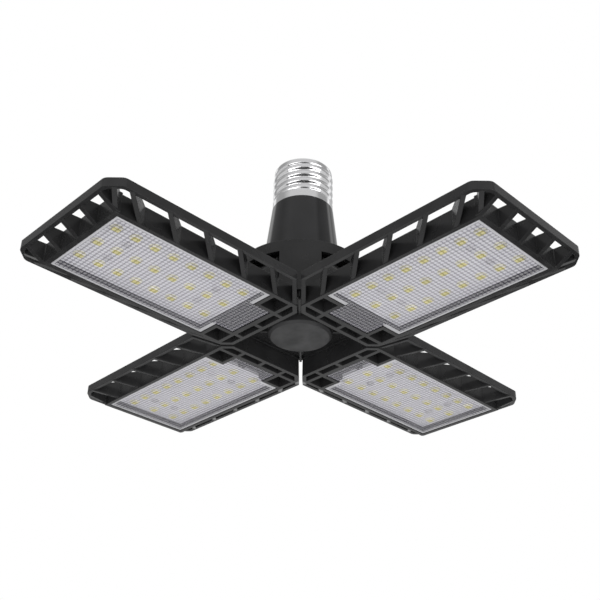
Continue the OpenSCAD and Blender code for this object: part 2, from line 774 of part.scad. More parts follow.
// From the board's top to the centre contact
module live_wire() {
    color([0.7, 0.1, 0.1]) translate([0, 0, drv_z1]) cylinder(d = wire_d, h = insul_top - drv_z1, $fn = 24);
}

// From the board's top to the inside of the shell, over the neck's top
module neutral_wire() {
    x0 = neck_r - housing_wall - wire_d / 2 - 0.2;
    z1 = skirt_h + (thread_n - 0.5) * thread_p;
    x1 = shell_ir - 0.05;
    color([0.9, 0.9, 0.9]) union() {
        translate([x0 - 2, 0, drv_z1]) cylinder(d = wire_d, h = 1.5, $fn = 24);
        translate([x0 - 2, 0, drv_z1 + 1.5]) sphere(d = wire_d, $fn = 24);
        translate([x0 - 2, 0, drv_z1 + 1.5]) cylinder(d = wire_d, h = z1 - drv_z1 - 1.5, $fn = 24);
        translate([x0 - 2, 0, z1]) sphere(d = wire_d, $fn = 24);
        translate([x0 - 2, 0, z1]) rotate([0, 90, 0]) cylinder(d = wire_d, h = x1 - x0 + 2, $fn = 24);
    }
}

// From the driver board down into the hub and out to each hinge
module hub_leads() {
    color([0.75, 0.1, 0.1]) union() {
        translate([0, 0, hub_lead_z]) cylinder(d = 2 * wire_d, h = drv_z0 - hub_lead_z, $fn = 24);
        translate([0, 0, hub_lead_z]) sphere(d = 2 * wire_d, $fn = 24);
        four() for (sy = [-1, 1])
            translate([0, sy * lead_y, hub_lead_z]) rotate([0, 90, 0])
                cylinder(d = wire_d, h = hinge_r - pin_d / 2 - wire_d, $fn = 24);
    }
}

centre_contact();
base_insulator();
screw_shell();
driver_housing();
housing_screws();
driver_board();
transformer();
mains_capacitor();
output_capacitor();
line_choke();
bridge_rectifier();
switching_transistor();
live_wire();
neutral_wire();
hub_leads();
hub_shell();
hub_base();
hub_screws();
bottom_cap();
panel_frame(1);  // panel_frame_1
panel_frame(2);  // panel_frame_2
panel_frame(3);  // panel_frame_3
panel_frame(4);  // panel_frame_4
lens(1);  // lens_1
lens(2);  // lens_2
lens(3);  // lens_3
lens(4);  // lens_4
light_board(1);  // light_board_1
light_board(2);  // light_board_2
light_board(3);  // light_board_3
light_board(4);  // light_board_4
light_chips(1);  // light_chips_1
light_chips(2);  // light_chips_2
light_chips(3);  // light_chips_3
light_chips(4);  // light_chips_4
board_screws(1);  // board_screws_1
board_screws(2);  // board_screws_2
board_screws(3);  // board_screws_3
board_screws(4);  // board_screws_4
hinge_pin(1);  // hinge_pin_1
hinge_pin(2);  // hinge_pin_2
hinge_pin(3);  // hinge_pin_3
hinge_pin(4);  // hinge_pin_4
friction_washers(1);  // friction_washers_1
friction_washers(2);  // friction_washers_2
friction_washers(3);  // friction_washers_3
friction_washers(4);  // friction_washers_4
panel_lead(1);  // panel_lead_1
panel_lead(2);  // panel_lead_2
panel_lead(3);  // panel_lead_3
panel_lead(4);  // panel_lead_4
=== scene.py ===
"""The looks of a folding garage lamp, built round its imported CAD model, in metres."""
import math

import bmesh
import bpy
from mathutils import Matrix, Vector


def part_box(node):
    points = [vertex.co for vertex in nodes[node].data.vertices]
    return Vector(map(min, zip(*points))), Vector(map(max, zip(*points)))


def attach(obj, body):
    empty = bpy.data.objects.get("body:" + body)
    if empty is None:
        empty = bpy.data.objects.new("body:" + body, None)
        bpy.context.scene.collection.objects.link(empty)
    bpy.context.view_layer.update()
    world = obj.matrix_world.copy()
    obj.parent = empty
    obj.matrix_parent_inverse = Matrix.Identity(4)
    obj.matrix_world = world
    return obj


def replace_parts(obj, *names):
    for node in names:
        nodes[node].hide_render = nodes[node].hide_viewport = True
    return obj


MM = 0.001
PANELS = (1, 2, 3, 4)
CAMERA_AZIMUTH = -43.94

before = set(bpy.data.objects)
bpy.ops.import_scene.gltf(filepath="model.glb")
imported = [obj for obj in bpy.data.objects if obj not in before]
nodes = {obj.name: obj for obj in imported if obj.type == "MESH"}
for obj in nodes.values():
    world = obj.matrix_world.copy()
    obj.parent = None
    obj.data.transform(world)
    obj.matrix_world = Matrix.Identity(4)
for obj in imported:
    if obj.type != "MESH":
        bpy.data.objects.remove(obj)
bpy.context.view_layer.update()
scene = bpy.context.scene


# ---------------------------------------------------------------- camera, light and floor
def direction(azimuth, elevation):
    """The unit vector from the lamp towards an azimuth and elevation in degrees; azimuth 0 is -Y."""
    a, e = math.radians(azimuth), math.radians(elevation)
    return Vector((math.sin(a) * math.cos(e), -math.cos(a) * math.cos(e), math.sin(e)))


def add_camera():
    """The photograph's camera, which looks up at the lamp from below."""
    focal_px = 961.8
    frame_px = 600
    centre_x_px = 299.8
    centre_y_px = 346.4
    target = Vector((0, 0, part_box("panel_frame_1")[0].z))
    distance = 0.3889
    elevation = -28.35
    roll = math.radians(1.19)
    back = direction(CAMERA_AZIMUTH, elevation)
    data = bpy.data.cameras.new("camera")
    data.sensor_width = 36
    data.lens = focal_px / frame_px * data.sensor_width
    data.shift_x = (frame_px / 2 - centre_x_px) / frame_px
    data.shift_y = (centre_y_px - frame_px / 2) / frame_px
    data.clip_start = 0.01
    camera = bpy.data.objects.new("camera", data)
    scene.collection.objects.link(camera)
    camera.rotation_mode = "QUATERNION"
    camera.location = target + back * distance
    facing = (-back).to_track_quat("-Z", "Y")
    camera.rotation_quaternion = facing @ Matrix.Rotation(roll, 4, "Z").to_quaternion()
    scene.camera = camera


def add_world():
    """A white surround for the camera, a softer light, and a striped studio for the reflections."""
    light_level = 0.75
    # Brightness of the studio all round, by degrees from the side that faces the camera
    shades = ((-180, 0.6), (-150, 0.6), (-141, 1.0), (-131, 1.0), (-122, 0.35), (-80, 0.35), (-50, 0.62),
              (50, 0.62), (64, 0.35), (106, 0.35), (113, 1.0), (121, 1.0), (127, 0.5), (180, 0.6))
    # Brightness above, and the upward parts of a direction between which it takes over from the stripes
    overhead = 0.85
    overhead_from, overhead_to = 0.8, 0.97
    a = math.radians(CAMERA_AZIMUTH)
    world = bpy.data.worlds.new("world")
    scene.world = world
    world.use_nodes = True
    tree = world.node_tree
    tree.nodes.clear()

    def math_node(kind, operation, *values):
        node = tree.nodes.new(kind)
        node.operation = operation
        for socket, value in zip(node.inputs, values):
            if isinstance(value, bpy.types.NodeSocket):
                tree.links.new(value, socket)
            else:
                socket.default_value = value
        return node.outputs["Value"]

    def mix(factor, a, b):
        node = tree.nodes.new("ShaderNodeMix")
        for socket, value in (("Factor", factor), ("A", a), ("B", b)):
            if isinstance(value, bpy.types.NodeSocket):
                tree.links.new(value, node.inputs[socket])
            else:
                node.inputs[socket].default_value = value
        return node.outputs["Result"]

    way = tree.nodes.new("ShaderNodeTexCoord").outputs["Generated"]
    across = math_node("ShaderNodeVectorMath", "DOT_PRODUCT", way, (math.cos(a), math.sin(a), 0))
    ahead = math_node("ShaderNodeVectorMath", "DOT_PRODUCT", way, (math.sin(a), -math.cos(a), 0))
    upward = math_node("ShaderNodeVectorMath", "DOT_PRODUCT", way, (0, 0, 1))
    turn = math_node("ShaderNodeMath", "ARCTAN2", across, ahead)
    round_trip = math_node("ShaderNodeMath", "MULTIPLY_ADD", turn, 0.5 / math.pi, 0.5)
    ramp = tree.nodes.new("ShaderNodeValToRGB")
    tree.links.new(round_trip, ramp.inputs["Fac"])
    stops = ramp.color_ramp.elements
    for degrees, _ in shades[1:-1]:
        stops.new(degrees / 360 + 0.5)
    for stop, (degrees, level) in zip(stops, shades):
        stop.position = degrees / 360 + 0.5
        stop.color = (level, level, level, 1)
    high = tree.nodes.new("ShaderNodeMapRange")
    high.inputs["From Min"].default_value = overhead_from
    high.inputs["From Max"].default_value = overhead_to
    tree.links.new(upward, high.inputs["Value"])
    studio = mix(high.outputs["Result"], ramp.outputs["Color"], overhead)
    path = tree.nodes.new("ShaderNodeLightPath")
    reflected = mix(path.outputs["Is Glossy Ray"], light_level, studio)
    through = mix(path.outputs["Is Transmission Ray"], reflected, 1.0)
    seen = mix(path.outputs["Is Camera Ray"], through, 1.0)
    background = tree.nodes.new("ShaderNodeBackground")
    tree.links.new(seen, background.inputs["Strength"])
    tree.links.new(background.outputs[0], tree.nodes.new("ShaderNodeOutputWorld").inputs["Surface"])
    background.inputs["Color"].default_value = (1, 1, 1, 1)


def add_softbox(name, azimuth, elevation, distance, size, power):
    """A soft lamp that faces the object and that the camera doesn't see."""
    aim = Vector((0, 0, -0.05))
    data = bpy.data.lights.new(name, "AREA")
    data.shape = "RECTANGLE"
    data.size, data.size_y = size
    data.energy = power
    lamp = bpy.data.objects.new(name, data)
    scene.collection.objects.link(lamp)
    lamp.visible_camera = False
    back = direction(azimuth, elevation)
    lamp.location = aim + back * distance
    lamp.rotation_mode = "QUATERNION"
    lamp.rotation_quaternion = (-back).to_track_quat("-Z", "Y")


def add_floor():
    """A pale floor well below the lamp."""
    mesh = bpy.data.meshes.new("floor")
    half, height = 4.9, -1.3
    corners = [(x * half, y * half, height) for x, y in ((-1, -1), (1, -1), (1, 1), (-1, 1))]
    mesh.from_pydata(corners, [], [(0, 1, 2, 3)])
    floor = bpy.data.objects.new("floor", mesh)
    scene.collection.objects.link(floor)
    paint = bpy.data.materials.new("floor_paint")
    paint.use_nodes = True
    shader = paint.node_tree.nodes["Principled BSDF"]
    shader.inputs["Base Color"].default_value = (0.82, 0.82, 0.82, 1)
    shader.inputs["Roughness"].default_value = 0.8
    mesh.materials.append(paint)


def add_dark_card(name, azimuth, elevation=-47, distance=0.55, half_width=0.27, half_height=0.19):
    """A dark oval card in the studio, which only reflections see."""
    a = math.radians(azimuth)
    away = direction(azimuth, elevation)
    side = Vector((math.cos(a), math.sin(a), 0))
    up = side.cross(away)
    middle = away * distance
    sides = 48
    angles = [2 * math.pi * k / sides for k in range(sides)]
    rim = [middle + side * half_width * math.cos(t) + up * half_height * math.sin(t) for t in angles]
    mesh = bpy.data.meshes.new(name)
    mesh.from_pydata(rim, [], [tuple(range(sides))])
    paint = bpy.data.materials.new(name)
    paint.use_nodes = True
    shader = paint.node_tree.nodes["Principled BSDF"]
    shader.inputs["Base Color"].default_value = (0.01, 0.01, 0.01, 1)
    shader.inputs["Roughness"].default_value = 1.0
    shader.inputs["Specular IOR Level"].default_value = 0.0
    mesh.materials.append(paint)
    card = bpy.data.objects.new(name, mesh)
    scene.collection.objects.link(card)
    for ray in ("camera", "diffuse", "transmission", "volume_scatter", "shadow"):
        setattr(card, "visible_" + ray, False)


# ---------------------------------------------------------------- materials
class Shader:
    """A Principled material and short ways to add procedural detail to it."""

    def __init__(self, name, colour, roughness, metallic=0.0, specular=0.5):
        self.material = bpy.data.materials.new(name)
        self.material.use_nodes = True
        self.tree = self.material.node_tree
        self.bsdf = self.tree.nodes["Principled BSDF"]
        self.set("Base Color", (*colour, 1))
        self.set("Roughness", roughness)
        self.set("Metallic", metallic)
        self.set("Specular IOR Level", specular)
        self.place = self.add("ShaderNodeTexCoord").outputs["Object"]
        self.height = None

    def add(self, kind):
        return self.tree.nodes.new(kind)

    def link(self, a, b):
        self.tree.links.new(a, b)

    def set(self, socket, value):
        self.bsdf.inputs[socket].default_value = value

    def noise(self, size_mm, detail=2.0, stretch=(1, 1, 1)):
        """Noise whose features are about size_mm wide."""
        scale = self.add("ShaderNodeVectorMath")
        scale.operation = "MULTIPLY"
        scale.inputs[1].default_value = [s / (size_mm * MM) for s in stretch]
        self.link(self.place, scale.inputs[0])
        noise = self.add("ShaderNodeTexNoise")
        noise.inputs["Scale"].default_value = 1.0
        noise.inputs["Detail"].default_value = detail
        self.link(scale.outputs[0], noise.inputs["Vector"])
        return noise.outputs["Fac"]

    def ramp(self, value, low, high):
        """Maps a noise, which mostly lies between 0.3 and 0.7, to a range of numbers."""
        node = self.add("ShaderNodeMapRange")
        node.inputs["From Min"].default_value = 0.3
        node.inputs["From Max"].default_value = 0.7
        node.inputs["To Min"].default_value = low
        node.inputs["To Max"].default_value = high
        self.link(value, node.inputs["Value"])
        return node.outputs["Result"]

    def vary_roughness(self, value, low, high):
        """Varies the roughness from low to high with the value."""
        self.link(self.ramp(value, low, high), self.bsdf.inputs["Roughness"])

    def vary_colour(self, value, dark, light):
        """Blends from a dark to a light colour with the value."""
        mix = self.add("ShaderNodeMix")
        mix.data_type = "RGBA"
        mix.inputs["A"].default_value = (*dark, 1)
        mix.inputs["B"].default_value = (*light, 1)
        self.link(self.ramp(value, 0, 1), mix.inputs["Factor"])
        self.link(mix.outputs["Result"], self.bsdf.inputs["Base Color"])

    def round_edges(self, radius_mm):
        """Shades the edges as if rounded to that radius, under any bump that is added later."""
        node = self.add("ShaderNodeBevel")
        node.samples = 6
        node.inputs["Radius"].default_value = radius_mm * MM
        self.height = node.outputs["Normal"]
        self.link(self.height, self.bsdf.inputs["Normal"])

    def bump(self, value, depth_mm):
        """Adds a bump of that depth on top of the ones before it."""
        node = self.add("ShaderNodeBump")
        node.inputs["Strength"].default_value = 1.0
        node.inputs["Distance"].default_value = depth_mm * MM
        self.link(value, node.inputs["Height"])
        if self.height:
            self.link(self.height, node.inputs["Normal"])
        self.height = node.outputs["Normal"]
        self.link(self.height, self.bsdf.inputs["Normal"])


def moulded_plastic(name, colour, roughness, grain_mm=0.5, grain_depth=0.002, specular=0.5, edge_mm=0.0):
    """Moulded plastic with a faint cloudiness, an uneven gloss, a very fine grain and rounded edges."""
    shader = Shader(name, colour, roughness, specular=specular)
    if edge_mm:
        shader.round_edges(edge_mm)
    shader.vary_colour(shader.noise(9, 3), [c * 0.85 for c in colour], [c * 1.2 for c in colour])
    shader.vary_roughness(shader.noise(5, 3), roughness * 0.75, roughness * 1.4)
    shader.bump(shader.noise(grain_mm, 2), grain_depth)
    shader.bump(shader.noise(14, 1), 0.02)
    return shader.material


def plated_metal(name, colour, roughness, grain_mm=0.6, stretch=(1, 1, 1)):
    """Bright plated metal with fine handling marks."""
    shader = Shader(name, colour, roughness, metallic=1.0)
    shader.vary_roughness(shader.noise(grain_mm * 4, 4, stretch), roughness * 0.7, roughness * 1.6)
    shader.bump(shader.noise(grain_mm, 3, stretch), 0.002)
    return shader.material


def clear_plastic(name, colour, alpha, roughness):
    """Clear plastic whose colour covers the share alpha of what lies behind it; the lens's dark tint paints
    shade on the board seen through it, and the domes' white tint paints a highlight.
    """
    shader = Shader(name, colour, roughness, specular=0.3)
    shader.set("Alpha", alpha)
    shader.vary_roughness(shader.noise(4, 2), roughness, roughness * 1.5)
    return shader.material


def board_paint():
    """White solder mask with a faint orange-peel surface."""
    shader = Shader("board_white", (0.8, 0.79, 0.84), 0.4)
    shader.vary_colour(shader.noise(6, 3), (0.77, 0.76, 0.82), (0.83, 0.82, 0.87))
    shader.bump(shader.noise(0.5, 2), 0.01)
    return shader.material


def make_materials():
    """Every material, by the name that the pieces ask for."""
    return {
        "frame": moulded_plastic("frame_plastic", (0.02, 0.02, 0.0205), 0.22, specular=0.35, edge_mm=0.25),
        "cap": moulded_plastic("cap_plastic", (0.04, 0.04, 0.041), 0.45, 0.3, 0.006, 0.3, edge_mm=0.3),
        "housing": moulded_plastic("housing_plastic", (0.012, 0.012, 0.013), 0.06, edge_mm=0.25),
        # The clear lens's dark tint is painted shade over the board that shows between the domes
        "lens_clear_painted_shade": clear_plastic("lens_clear_painted_shade", (0.1, 0.095, 0.125), 0.48, 0.08),
        # The domes' near-white tint is a painted highlight, standing in for the light they reflect
        "lens_dot_painted_highlight": clear_plastic("lens_dot_painted_highlight", (0.95, 0.94, 0.98), 0.23, 0.2),
        "lens_back": clear_plastic("lens_back", (0.5, 0.5, 0.5), 0.03, 0.1),
        "lens_border": clear_plastic("lens_border", (0.62, 0.62, 0.64), 0.7, 0.15),
        "board": board_paint(),
        "chip_case": moulded_plastic("chip_case", (0.85, 0.82, 0.72), 0.35),
        "phosphor": moulded_plastic("phosphor", (0.8, 0.72, 0.16), 0.35),
        "resin": moulded_plastic("chip_resin", (0.8, 0.77, 0.56), 0.4),
        "shell": plated_metal("shell_nickel", (0.86, 0.86, 0.87), 0.14, 0.5, (1, 1, 3)),
        "contact": plated_metal("contact_tin", (0.7, 0.7, 0.7), 0.35),
        "insulator": moulded_plastic("insulator_glass", (0.012, 0.012, 0.014), 0.08, edge_mm=0.3),
        "steel": plated_metal("steel_zinc", (0.62, 0.62, 0.65), 0.28),
        "steel_black": plated_metal("steel_blackened", (0.06, 0.06, 0.062), 0.4),
        "screw_paint": moulded_plastic("screw_paint", (0.6, 0.59, 0.62), 0.35),
        "green": moulded_plastic("board_green", (0.02, 0.12, 0.04), 0.4),
        "tape": moulded_plastic("tape_yellow", (0.6, 0.4, 0.05), 0.45),
        "sleeve": moulded_plastic("sleeve_blue", (0.02, 0.035, 0.12), 0.3),
        "core": moulded_plastic("core_green", (0.04, 0.16, 0.06), 0.5),
        "chip_black": moulded_plastic("chip_black", (0.015, 0.015, 0.015), 0.5),
        "wire_red": moulded_plastic("wire_red", (0.5, 0.015, 0.015), 0.4),
        "wire_white": moulded_plastic("wire_white", (0.75, 0.75, 0.72), 0.4),
        "wire_black": moulded_plastic("wire_black", (0.008, 0.008, 0.008), 0.45),
    }


# ---------------------------------------------------------------- making pieces
def new_piece(name, bm, body, slot, *mats, smooth=True):
    """An object from a bmesh, which rides on a body; its slot argument is not used."""
    bmesh.ops.recalc_face_normals(bm, faces=bm.faces)
    mesh = bpy.data.meshes.new(name)
    bm.to_mesh(mesh)
    bm.free()
    for polygon in mesh.polygons:
        polygon.use_smooth = smooth
    for mat in mats:
        mesh.materials.append(mat)
    piece = bpy.data.objects.new(name, mesh)
    scene.collection.objects.link(piece)
    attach(piece, body)
    return piece


def panel_turn(i):
    """The turn about Z from panel 1's place to panel i's."""
    return Matrix.Rotation(math.radians(90 * (i - 1)), 4, "Z")


def on_each_panel(kind, bm, slot, *mats, node=None, smooth=True):
    """A piece on every panel, of the form given for panel 1."""
    for i in PANELS:
        turned = bm.copy()
        bmesh.ops.transform(turned, matrix=panel_turn(i), verts=turned.verts)
        piece = new_piece(f"{kind}_{i}", turned, f"panel_{i}", slot, *mats, smooth=smooth)
        if node:
            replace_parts(piece, f"{node}_{i}")
    bm.free()


def ring_of(bm, points):
    """A new vertex at each of the points."""
    return [bm.verts.new(p) for p in points]


def join_rings(bm, lower, upper, slot=0):
    """A band of faces between two rings of the same length."""
    for k in range(len(lower)):
        n = (k + 1) % len(lower)
        face = bm.faces.new((lower[k], lower[n], upper[n], upper[k]))
        face.material_index = slot


# ---------------------------------------------------------------- lenses
# A lens's material slots
CLEAR, BORDER, DOT, BACK = range(4)


def spread(start, end, cells):
    """Evenly spaced lines from start to end."""
    return [start + (end - start) * k / cells for k in range(cells + 1)]


def dot_cell(bm, corners, dot_r, height):
    """A square of lens with a low round dome in its middle."""
    middle = sum((v.co for v in corners), Vector()) / 4
    sides = 8
    shoulder_r, shoulder_h = dot_r * 0.62, height * 0.72

    def ring(radius, lift):
        angles = [math.radians(180 / sides + 360 / sides * k) for k in range(sides)]
        return ring_of(bm, [middle + Vector((radius * math.cos(t), radius * math.sin(t), -lift))
                            for t in angles])

    foot = ring(dot_r, 0)
    shoulder = ring(shoulder_r, shoulder_h)
    top = bm.verts.new(middle - Vector((0, 0, height)))
    for k, corner in enumerate(corners):
        a, b = foot[2 * k], foot[2 * k + 1]
        bm.faces.new((corner, b, a)).material_index = CLEAR
        bm.faces.new((corner, corners[(k + 1) % 4], foot[(2 * k + 2) % sides], b)).material_index = CLEAR
    join_rings(bm, foot, shoulder, DOT)
    for k in range(sides):
        bm.faces.new((shoulder[k], shoulder[(k + 1) % sides], top)).material_index = DOT


def lens_form():
    """Panel 1's lens: a clear plate with a tab, a frosted border and a grid of small domes."""
    low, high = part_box("lens_1")
    points = [v.co for v in nodes["lens_1"].data.vertices]
    tab_half = max(abs(p.y) for p in points if p.x < low.x + MM)
    step = min(p.x for p in points if abs(p.y) > tab_half + MM)
    border = 0.9 * MM
    dome_h = 0.12 * MM
    dome_share = 0.42
    sharp_edge = math.radians(60)
    face_z = low.z + dome_h
    tab_rows, tab_columns = 5, 14
    pitch = (step - low.x) / tab_rows
    side_columns = round((high.y - border - tab_half) / pitch)
    main_rows = round((high.x - border - step) / pitch)
    x_lines = spread(low.x, step, tab_rows) + spread(step, high.x - border, main_rows)[1:] + [high.x]
    half_lines = spread(tab_half, high.y - border, side_columns)[1:] + [high.y]
    y_lines = [-y for y in reversed(half_lines)] + spread(-tab_half, tab_half, tab_columns) + half_lines
    bm = bmesh.new()
    corners = {}

    def corner(i, j):
        if (i, j) not in corners:
            corners[i, j] = bm.verts.new((x_lines[i], y_lines[j], face_z))
        return corners[i, j]

    for i in range(len(x_lines) - 1):
        for j in range(len(y_lines) - 1):
            on_tab = abs(y_lines[j] + y_lines[j + 1]) / 2 < tab_half
            if i < tab_rows and not on_tab:
                continue
            cell = [corner(i + 1, j + 1), corner(i, j + 1), corner(i, j), corner(i + 1, j)]
            rim = i == len(x_lines) - 2 or j in (0, len(y_lines) - 2) or (i == tab_rows and not on_tab)
            if rim:
                bm.faces.new(cell).material_index = BORDER
            else:
                dot_cell(bm, cell, pitch * dome_share, dome_h)
    edges = [e for e in bm.edges if e.is_boundary]
    border_edges = {e for e in edges if e.link_faces[0].material_index == BORDER}
    made = bmesh.ops.extrude_edge_only(bm, edges=edges)["geom"]
    back_verts = [v for v in made if isinstance(v, bmesh.types.BMVert)]
    bmesh.ops.translate(bm, vec=(0, 0, high.z - face_z), verts=back_verts)
    for face in (f for f in made if isinstance(f, bmesh.types.BMFace)):
        face.material_index = BORDER if any(e in border_edges for e in face.edges) else CLEAR
    bmesh.ops.edgeloop_fill(bm, edges=[e for e in bm.edges if e.is_boundary], mat_nr=BACK)
    for edge in bm.edges:
        if len(edge.link_faces) == 2 and edge.calc_face_angle(0) > sharp_edge:
            edge.smooth = False
    return bm


# ---------------------------------------------------------------- light chips and boards
def soft_rectangle(x, y, z, half_x, half_y, cut):
    """Eight corners of a rectangle whose own corners are cut."""
    return [Vector((x + u, y + v, z)) for u, v in (
        (half_x, -half_y + cut), (half_x, half_y - cut), (half_x - cut, half_y), (-half_x + cut, half_y),
        (-half_x, half_y - cut), (-half_x, -half_y + cut), (-half_x + cut, -half_y), (half_x - cut, -half_y))]


def chip_places(columns=8, rows=3, length_mm=3.5, width_mm=2.8):
    """The middle of every light chip on panel 1, and the half sizes of one."""
    low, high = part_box("light_chips_1")
    half_x, half_y = length_mm * MM / 2, width_mm * MM / 2
    xs = spread(low.x + half_x, high.x - half_x, columns - 1)
    ys = spread(low.y + half_y, high.y - half_y, rows - 1)
    return [(x, y) for x in xs for y in ys], half_x, half_y


def chips_form():
    """Panel 1's light chips: white cases whose wells are filled with yellow phosphor."""
    case, phosphor = 0, 1
    low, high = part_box("light_chips_1")
    places, half_x, half_y = chip_places()
    wall = 0.12 * MM
    cut = 0.15 * MM
    # From the board to the middle of the face: each ring's inset, its height and the cut of its corners
    outline = (
        (0.06 * MM, high.z, cut),
        (0, high.z - 0.25 * MM, cut),
        (0.02 * MM, low.z + 0.06 * MM, cut),
        (0.08 * MM, low.z, cut),
        (wall, low.z, 0.45 * MM),
        (wall + 0.1 * MM, low.z + 0.1 * MM, 0.4 * MM),
        (wall + 0.5 * MM, low.z + 0.07 * MM, 0.3 * MM),
    )
    bm = bmesh.new()
    for x, y in places:
        rings = [ring_of(bm, soft_rectangle(x, y, z, half_x - inset, half_y - inset, corner))
                 for inset, z, corner in outline]
        for a, b in zip(rings[:-1], rings[1:-1]):
            join_rings(bm, a, b, case)
        join_rings(bm, rings[-2], rings[-1], phosphor)
        bm.faces.new(rings[-1]).material_index = phosphor
        bm.faces.new(rings[0]).material_index = case
    return bm


def resin_form(radius_mm=2.35, height_mm=0.15, sides=20):
    """Panel 1's low pools of pale resin round the foot of every chip."""
    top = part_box("light_board_1")[0].z
    rings = ((radius_mm, 0), (radius_mm - 0.12, height_mm * 0.7), (radius_mm - 0.4, height_mm))
    bm = bmesh.new()
    angles = [2 * math.pi * k / sides for k in range(sides)]
    for x, y in chip_places()[0]:
        made = []
        for radius, height in rings:
            z = top - height * MM
            made.append(ring_of(bm, [(x + radius * MM * math.cos(t), y + radius * MM * math.sin(t), z)
                                     for t in angles]))
        for lower, upper in zip(made, made[1:]):
            join_rings(bm, lower, upper)
        bm.faces.new(made[0])
        bm.faces.new(made[-1])
    return bm


def tracks_form():
    """The raised lines of panel 1's copper tracks, under the white paint."""
    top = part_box("light_board_1")[0].z
    chip_gap = 0.5 * MM
    height = 0.05 * MM
    foot_half_w, crest_half_w = 1.6 * MM, 1.55 * MM
    cut = 0.6 * MM
    places, half_x, _ = chip_places()
    places = sorted(places, key=lambda p: (p[1], p[0]))
    bm = bmesh.new()
    for (x0, y0), (x1, y1) in zip(places, places[1:]):
        if y0 == y1:
            x = (x0 + x1) / 2
            half = (x1 - x0) / 2 - half_x - chip_gap
            foot = ring_of(bm, soft_rectangle(x, y0, top, half, foot_half_w, cut))
            crest = ring_of(bm, soft_rectangle(x, y0, top - height, half - height, crest_half_w, cut))
            join_rings(bm, foot, crest)
            bm.faces.new(crest)
            bm.faces.new(foot)
    return bm


# ---------------------------------------------------------------- screws
def box_of(points):
    """The lowest and highest corners of the box round some points."""
    return (Vector([min(p[k] for p in points) for k in range(3)]),
            Vector([max(p[k] for p in points) for k in range(3)]))


def islands(node):
    """The separate solids of a CAD node, each as a list of its points, in order of place to 1 mm."""
    weld = 0.002 * MM
    bm = bmesh.new()
    bm.from_mesh(nodes[node].data)
    bmesh.ops.remove_doubles(bm, verts=bm.verts, dist=weld)
    left = set(bm.verts)
    found = []
    while left:
        queue = [left.pop()]
        points = []
        while queue:
            vert = queue.pop()
            points.append(vert.co.copy())
            for edge in vert.link_edges:
                other = edge.other_vert(vert)
                if other in left:
                    left.remove(other)
                    queue.append(other)
        found.append(points)
    bm.free()
    return sorted(found, key=lambda points: [round(value / MM) for value in box_of(points)[0]])


def add_screw(bm, points, twist):
    """A pan-head screw with a cross recess, in the space of one plain screw."""
    low, high = box_of(points)
    middle = (low + high) / 2
    head_r = (high.x - low.x) / 2

    def reach(p):
        return math.hypot(p.x - middle.x, p.y - middle.y)

    head_z = [p.z for p in points if reach(p) > 0.9 * head_r]
    shank_r = min(reach(p) for p in points if reach(p) > 0.2 * head_r)
    up = 1 if max(head_z) > middle.z else -1
    seat, crown = (min(head_z), max(head_z)) if up > 0 else (max(head_z), min(head_z))
    tip = low.z if up > 0 else high.z
    head_h = abs(crown - seat)
    sides = 32
    taper_h = 0.3 * MM
    arm_l, arm_w, depth = 0.58 * head_r, 0.13 * head_r, 0.6 * head_h

    def ring(radius, z, recess=False):
        out = []
        for k in range(sides):
            t = 2 * math.pi * k / sides
            u, v = abs(radius * math.cos(t)), abs(radius * math.sin(t))
            inside = recess and min(u, v) < arm_w and max(u, v) < arm_l
            at_z = z - up * depth * (1 - 0.6 * max(u, v) / arm_l) if inside else z
            turned = t + twist
            out.append(bm.verts.new((middle.x + radius * math.cos(turned),
                                     middle.y + radius * math.sin(turned), at_z)))
        return out

    rings = [ring(shank_r * 0.7, tip), ring(shank_r, tip + up * taper_h), ring(shank_r, seat),
             ring(head_r, seat), ring(head_r, crown - up * head_h * 0.45),
             ring(head_r * 0.94, crown - up * head_h * 0.2), ring(head_r * 0.82, crown - up * head_h * 0.06),
             ring(head_r * 0.66, crown)]
    rings += [ring(head_r * share, crown, True) for share in (0.54, 0.44, 0.34, 0.25, 0.17, 0.1)]
    for a, b in zip(rings, rings[1:]):
        join_rings(bm, a, b)
    bm.faces.new(rings[0])
    bm.faces.new(rings[-1])


def screws_form(node):
    """A detailed screw in the place of each plain one, every recess turned another way."""
    first_twist, twist_step = 0.4, 1.1
    bm = bmesh.new()
    for k, points in enumerate(islands(node)):
        add_screw(bm, points, twist=first_twist + twist_step * k)
    return bm


# ---------------------------------------------------------------- screw base
def lathe(bm, profile, sides=96):
    """A closed solid of revolution about Z, from (radius, height) points in order along its outline."""
    rings = []
    for radius, z in profile:
        if radius == 0:
            rings.append([bm.verts.new((0, 0, z))])
        else:
            rings.append(ring_of(bm, [(radius * math.cos(2 * math.pi * k / sides),
                                       radius * math.sin(2 * math.pi * k / sides), z) for k in range(sides)]))
    for a, b in zip(rings, rings[1:]):
        for k in range(sides):
            n = (k + 1) % sides
            if len(a) == 1:
                bm.faces.new((a[0], b[n], b[k]))
            elif len(b) == 1:
                bm.faces.new((a[k], a[n], b[0]))
            else:
                bm.faces.new((a[k], a[n], b[n], b[k]))


